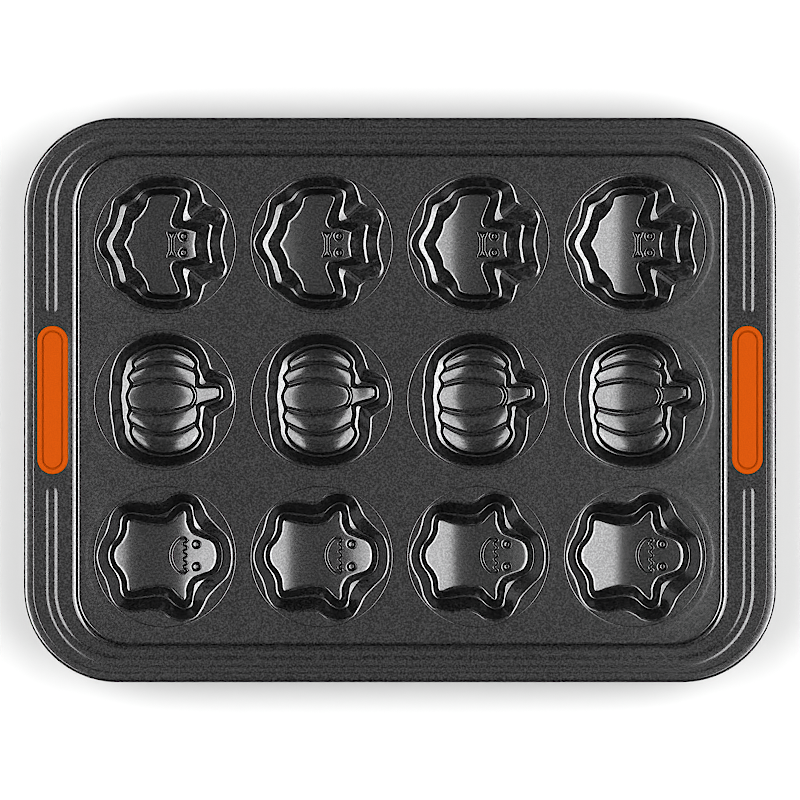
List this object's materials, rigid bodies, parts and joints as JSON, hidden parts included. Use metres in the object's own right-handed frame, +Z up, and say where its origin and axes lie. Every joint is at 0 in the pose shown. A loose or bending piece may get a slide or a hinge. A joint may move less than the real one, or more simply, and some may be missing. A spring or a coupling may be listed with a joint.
{
  "type": "halloween shaped baking pan",
  "caption": "Dark coated steel baking pan with bat, pumpkin and ghost moulds in a framed deck, a wired rim and a soft orange grip at each short end.",
  "frame": {"origin": "on the surface that the pan stands on, under the middle of the pan", "axes": "+X along the pan, the way the figures' heads and the stems point; +Y across it, from the ghosts to the bats; +Z up, out of the moulds"},
  "size_m": [0.4002, 0.3004, 0.0291],
  "materials": {
    "coated_steel": "dark grey non-stick coating, satin, with a fine grain",
    "rim_wire": "drawn steel wire",
    "silicone": "matt moulded silicone, orange"
  },
  "bodies": {
    "root": {"frame_sheet": "coated_steel", "rim_wire": "rim_wire", "grip_left": "silicone", "grip_right": "silicone", "bat_cup_1": "coated_steel", "bat_cup_2": "coated_steel", "bat_cup_3": "coated_steel", "bat_cup_4": "coated_steel", "pumpkin_cup_1": "coated_steel", "pumpkin_cup_2": "coated_steel", "pumpkin_cup_3": "coated_steel", "pumpkin_cup_4": "coated_steel", "ghost_cup_1": "coated_steel", "ghost_cup_2": "coated_steel", "ghost_cup_3": "coated_steel", "ghost_cup_4": "coated_steel"}
  },
  "joints": []
}
